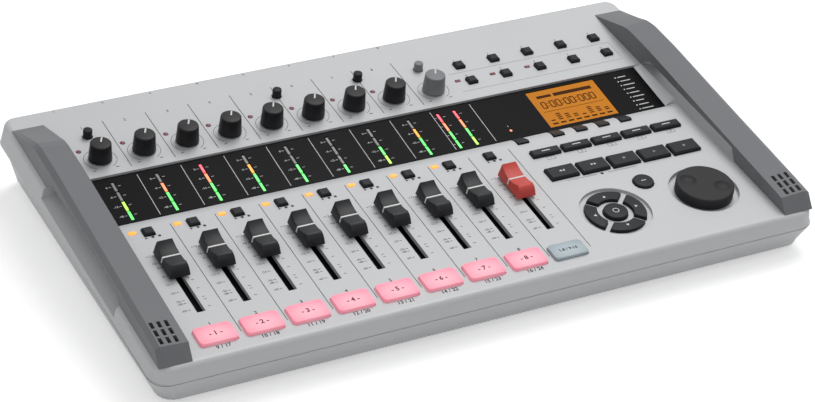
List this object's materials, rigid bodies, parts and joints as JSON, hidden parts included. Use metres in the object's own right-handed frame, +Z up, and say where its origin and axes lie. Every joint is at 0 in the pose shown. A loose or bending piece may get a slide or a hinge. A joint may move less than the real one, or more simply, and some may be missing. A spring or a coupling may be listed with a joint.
{
  "type": "digital multitrack recorder",
  "caption": "Desktop multitrack recorder with channel faders, gain knobs, pads, a sunk display strip, transport keys, a data wheel and side grips.",
  "frame": {"origin": "centre of the footprint, on the plane that the feet stand on", "axes": "+X to the right as the user sees the panel, +Y from the user to the rear sockets, +Z up"},
  "size_m": [0.3766, 0.2175, 0.052],
  "materials": {
    "case_silver": "satin metallic paint",
    "grip_grey": "matt",
    "pane_black": "glossy",
    "lcd_amber": "glossy",
    "lamp_clear": "glossy",
    "board_green": "solder mask",
    "socket_plate": "matt",
    "socket_black": "matt",
    "socket_metal": "nickel",
    "foot_rubber": "matt",
    "screw_steel": "zinc black",
    "cap_black": "satin",
    "cap_red": "satin",
    "knob_black": "satin",
    "knob_grey": "satin",
    "dial_black": "satin",
    "pad_pink": "translucent silicone",
    "pad_blue": "translucent silicone",
    "key_black": "satin"
  },
  "bodies": {
    "case": {"top_case": "case_silver", "bottom_case": "case_silver", "left_grip": "grip_grey", "right_grip": "grip_grey", "display_window": "pane_black", "lcd_module": "lcd_amber", "indicator_leds": "lamp_clear", "control_board": "board_green", "rear_panel": "socket_plate", "input_sockets": "socket_black", "line_sockets": "socket_metal", "feet": "foot_rubber", "case_screws": "screw_steel"},
    "fader_1": {"fader_1": "cap_black"},
    "fader_2": {"fader_2": "cap_black"},
    "fader_3": {"fader_3": "cap_black"},
    "fader_4": {"fader_4": "cap_black"},
    "fader_5": {"fader_5": "cap_black"},
    "fader_6": {"fader_6": "cap_black"},
    "fader_7": {"fader_7": "cap_black"},
    "fader_8": {"fader_8": "cap_black"},
    "master_fader": {"master_fader": "cap_red"},
    "gain_knob_1": {"gain_knob_1": "knob_black"},
    "gain_knob_2": {"gain_knob_2": "knob_black"},
    "gain_knob_3": {"gain_knob_3": "knob_black"},
    "gain_knob_4": {"gain_knob_4": "knob_black"},
    "gain_knob_5": {"gain_knob_5": "knob_black"},
    "gain_knob_6": {"gain_knob_6": "knob_black"},
    "gain_knob_7": {"gain_knob_7": "knob_black"},
    "gain_knob_8": {"gain_knob_8": "knob_black"},
    "balance_knob": {"balance_knob": "knob_grey"},
    "data_dial": {"data_dial": "dial_black"},
    "pad_1": {"pad_1": "pad_pink"},
    "pad_2": {"pad_2": "pad_pink"},
    "pad_3": {"pad_3": "pad_pink"},
    "pad_4": {"pad_4": "pad_pink"},
    "pad_5": {"pad_5": "pad_pink"},
    "pad_6": {"pad_6": "pad_pink"},
    "pad_7": {"pad_7": "pad_pink"},
    "pad_8": {"pad_8": "pad_pink"},
    "pad_bank_key": {"pad_bank_key": "pad_blue"},
    "cursor_keys": {"cursor_keys": "key_black"},
    "enter_key": {"enter_key": "key_black"},
    "exit_key": {"exit_key": "key_black"},
    "rewind_key": {"rewind_key": "key_black"},
    "forward_key": {"forward_key": "key_black"},
    "stop_key": {"stop_key": "key_black"},
    "play_key": {"play_key": "key_black"},
    "record_key": {"record_key": "key_black"},
    "wide_keys": {"wide_keys": "key_black"},
    "function_keys": {"function_keys": "key_black"},
    "track_keys": {"track_keys": "key_black"},
    "soft_keys": {"soft_keys": "key_black"},
    "hi_z_switch": {"hi_z_switch": "key_black"},
    "phantom_switch_left": {"phantom_switch_left": "key_black"},
    "phantom_switch_right": {"phantom_switch_right": "key_black"},
    "phones_level_switch": {"phones_level_switch": "knob_grey"},
    "power_switch": {"power_switch": "key_black"},
    "battery_door": {"battery_door": "case_silver"},
    "card_door": {"card_door": "case_silver"}
  },
  "joints": [
    {"name": "battery_door_hinge", "type": "hinge", "parent": "case", "child": "battery_door", "pos_m": [0, 0.01485, 0.00465], "axis": [-1, 0, 0], "range_deg": [0, 95]},
    {"name": "card_door_hinge", "type": "hinge", "parent": "case", "child": "card_door", "pos_m": [0.17975, 0.02133, 0.01138], "axis": [0, 0.9982, 0.0595], "range_deg": [0, 95]},
    {"name": "power_switch_slide", "type": "slide", "parent": "case", "child": "power_switch", "axis": [1, 0, 0], "range_m": [0, 0.004]},
    {"name": "data_dial_turn", "type": "hinge", "parent": "case", "child": "data_dial", "pos_m": [0.1384, -0.07201, 0.02806], "axis": [0, -0.0785, 0.9969], "continuous": true},
    {"name": "fader_1_slide", "type": "slide", "parent": "case", "child": "fader_1", "axis": [0, 0.9969, 0.0785], "range_m": [-0.0347, 0.0103]},
    {"name": "fader_2_slide", "type": "slide", "parent": "case", "child": "fader_2", "axis": [0, 0.9969, 0.0785], "range_m": [-0.0347, 0.0103]},
    {"name": "fader_3_slide", "type": "slide", "parent": "case", "child": "fader_3", "axis": [0, 0.9969, 0.0785], "range_m": [-0.0347, 0.0103]},
    {"name": "fader_4_slide", "type": "slide", "parent": "case", "child": "fader_4", "axis": [0, 0.9969, 0.0785], "range_m": [-0.0347, 0.0103]},
    {"name": "fader_5_slide", "type": "slide", "parent": "case", "child": "fader_5", "axis": [0, 0.9969, 0.0785], "range_m": [-0.0347, 0.0103]},
    {"name": "fader_6_slide", "type": "slide", "parent": "case", "child": "fader_6", "axis": [0, 0.9969, 0.0785], "range_m": [-0.0347, 0.0103]},
    {"name": "fader_7_slide", "type": "slide", "parent": "case", "child": "fader_7", "axis": [0, 0.9969, 0.0785], "range_m": [-0.0347, 0.0103]},
    {"name": "fader_8_slide", "type": "slide", "parent": "case", "child": "fader_8", "axis": [0, 0.9969, 0.0785], "range_m": [-0.0347, 0.0103]},
    {"name": "master_fader_slide", "type": "slide", "parent": "case", "child": "master_fader", "axis": [0, 0.9969, 0.0785], "range_m": [-0.0347, 0.0103]},
    {"name": "gain_knob_1_turn", "type": "hinge", "parent": "case", "child": "gain_knob_1", "pos_m": [-0.1505, 0.0551, 0.03807], "axis": [0, -0.0785, 0.9969], "range_deg": [-123, 177]},
    {"name": "gain_knob_2_turn", "type": "hinge", "parent": "case", "child": "gain_knob_2", "pos_m": [-0.1263, 0.0551, 0.03807], "axis": [0, -0.0785, 0.9969], "range_deg": [-123, 177]},
    {"name": "gain_knob_3_turn", "type": "hinge", "parent": "case", "child": "gain_knob_3", "pos_m": [-0.1021, 0.0551, 0.03807], "axis": [0, -0.0785, 0.9969], "range_deg": [-123, 177]},
    {"name": "gain_knob_4_turn", "type": "hinge", "parent": "case", "child": "gain_knob_4", "pos_m": [-0.0779, 0.0551, 0.03807], "axis": [0, -0.0785, 0.9969], "range_deg": [-123, 177]},
    {"name": "gain_knob_5_turn", "type": "hinge", "parent": "case", "child": "gain_knob_5", "pos_m": [-0.0537, 0.0551, 0.03807], "axis": [0, -0.0785, 0.9969], "range_deg": [-123, 177]},
    {"name": "gain_knob_6_turn", "type": "hinge", "parent": "case", "child": "gain_knob_6", "pos_m": [-0.0295, 0.0551, 0.03807], "axis": [0, -0.0785, 0.9969], "range_deg": [-123, 177]},
    {"name": "gain_knob_7_turn", "type": "hinge", "parent": "case", "child": "gain_knob_7", "pos_m": [-0.0053, 0.0551, 0.03807], "axis": [0, -0.0785, 0.9969], "range_deg": [-123, 177]},
    {"name": "gain_knob_8_turn", "type": "hinge", "parent": "case", "child": "gain_knob_8", "pos_m": [0.0189, 0.0551, 0.03807], "axis": [0, -0.0785, 0.9969], "range_deg": [-123, 177]},
    {"name": "balance_knob_turn", "type": "hinge", "parent": "case", "child": "balance_knob", "pos_m": [0.0431, 0.0551, 0.03807], "axis": [0, -0.0785, 0.9969], "range_deg": [-123, 177]},
    {"name": "pad_1_press", "type": "slide", "parent": "case", "child": "pad_1", "axis": [0, -0.0785, 0.9969], "range_m": [-0.001, 0], "stiffness_N_per_m": 400, "springref_m": 0.001},
    {"name": "pad_2_press", "type": "slide", "parent": "case", "child": "pad_2", "axis": [0, -0.0785, 0.9969], "range_m": [-0.001, 0], "stiffness_N_per_m": 400, "springref_m": 0.001},
    {"name": "pad_3_press", "type": "slide", "parent": "case", "child": "pad_3", "axis": [0, -0.0785, 0.9969], "range_m": [-0.001, 0], "stiffness_N_per_m": 400, "springref_m": 0.001},
    {"name": "pad_4_press", "type": "slide", "parent": "case", "child": "pad_4", "axis": [0, -0.0785, 0.9969], "range_m": [-0.001, 0], "stiffness_N_per_m": 400, "springref_m": 0.001},
    {"name": "pad_5_press", "type": "slide", "parent": "case", "child": "pad_5", "axis": [0, -0.0785, 0.9969], "range_m": [-0.001, 0], "stiffness_N_per_m": 400, "springref_m": 0.001},
    {"name": "pad_6_press", "type": "slide", "parent": "case", "child": "pad_6", "axis": [0, -0.0785, 0.9969], "range_m": [-0.001, 0], "stiffness_N_per_m": 400, "springref_m": 0.001},
    {"name": "pad_7_press", "type": "slide", "parent": "case", "child": "pad_7", "axis": [0, -0.0785, 0.9969], "range_m": [-0.001, 0], "stiffness_N_per_m": 400, "springref_m": 0.001},
    {"name": "pad_8_press", "type": "slide", "parent": "case", "child": "pad_8", "axis": [0, -0.0785, 0.9969], "range_m": [-0.001, 0], "stiffness_N_per_m": 400, "springref_m": 0.001},
    {"name": "pad_bank_key_press", "type": "slide", "parent": "case", "child": "pad_bank_key", "axis": [0, -0.0785, 0.9969], "range_m": [-0.001, 0], "stiffness_N_per_m": 400, "springref_m": 0.001},
    {"name": "cursor_keys_press", "type": "slide", "parent": "case", "child": "cursor_keys", "axis": [0, -0.0785, 0.9969], "range_m": [-0.0008, 0], "stiffness_N_per_m": 400, "springref_m": 0.001},
    {"name": "enter_key_press", "type": "slide", "parent": "case", "child": "enter_key", "axis": [0, -0.0785, 0.9969], "range_m": [-0.0008, 0], "stiffness_N_per_m": 400, "springref_m": 0.001},
    {"name": "exit_key_press", "type": "slide", "parent": "case", "child": "exit_key", "axis": [0, -0.0785, 0.9969], "range_m": [-0.0008, 0], "stiffness_N_per_m": 400, "springref_m": 0.001},
    {"name": "rewind_key_press", "type": "slide", "parent": "case", "child": "rewind_key", "axis": [0, -0.0785, 0.9969], "range_m": [-0.0008, 0], "stiffness_N_per_m": 400, "springref_m": 0.001},
    {"name": "forward_key_press", "type": "slide", "parent": "case", "child": "forward_key", "axis": [0, -0.0785, 0.9969], "range_m": [-0.0008, 0], "stiffness_N_per_m": 400, "springref_m": 0.001},
    {"name": "stop_key_press", "type": "slide", "parent": "case", "child": "stop_key", "axis": [0, -0.0785, 0.9969], "range_m": [-0.0008, 0], "stiffness_N_per_m": 400, "springref_m": 0.001},
    {"name": "play_key_press", "type": "slide", "parent": "case", "child": "play_key", "axis": [0, -0.0785, 0.9969], "range_m": [-0.0008, 0], "stiffness_N_per_m": 400, "springref_m": 0.001},
    {"name": "record_key_press", "type": "slide", "parent": "case", "child": "record_key", "axis": [0, -0.0785, 0.9969], "range_m": [-0.0008, 0], "stiffness_N_per_m": 400, "springref_m": 0.001},
    {"name": "wide_keys_press", "type": "slide", "parent": "case", "child": "wide_keys", "axis": [0, -0.0785, 0.9969], "range_m": [-0.0008, 0], "stiffness_N_per_m": 400, "springref_m": 0.001},
    {"name": "function_keys_press", "type": "slide", "parent": "case", "child": "function_keys", "axis": [0, -0.0785, 0.9969], "range_m": [-0.0008, 0], "stiffness_N_per_m": 400, "springref_m": 0.001},
    {"name": "track_keys_press", "type": "slide", "parent": "case", "child": "track_keys", "axis": [0, -0.0785, 0.9969], "range_m": [-0.0008, 0], "stiffness_N_per_m": 400, "springref_m": 0.001},
    {"name": "soft_keys_press", "type": "slide", "parent": "case", "child": "soft_keys", "axis": [0, -0.0785, 0.9969], "range_m": [-0.0008, 0], "stiffness_N_per_m": 400, "springref_m": 0.001},
    {"name": "hi_z_switch_press", "type": "slide", "parent": "case", "child": "hi_z_switch", "axis": [0, -0.0785, 0.9969], "range_m": [-0.0015, 0], "stiffness_N_per_m": 300, "springref_m": 0.001},
    {"name": "phantom_switch_left_press", "type": "slide", "parent": "case", "child": "phantom_switch_left", "axis": [0, -0.0785, 0.9969], "range_m": [-0.0015, 0], "stiffness_N_per_m": 300, "springref_m": 0.001},
    {"name": "phantom_switch_right_press", "type": "slide", "parent": "case", "child": "phantom_switch_right", "axis": [0, -0.0785, 0.9969], "range_m": [-0.0015, 0], "stiffness_N_per_m": 300, "springref_m": 0.001},
    {"name": "phones_level_switch_press", "type": "slide", "parent": "case", "child": "phones_level_switch", "axis": [0, -0.0785, 0.9969], "range_m": [-0.0015, 0], "stiffness_N_per_m": 300, "springref_m": 0.001}
  ]
}
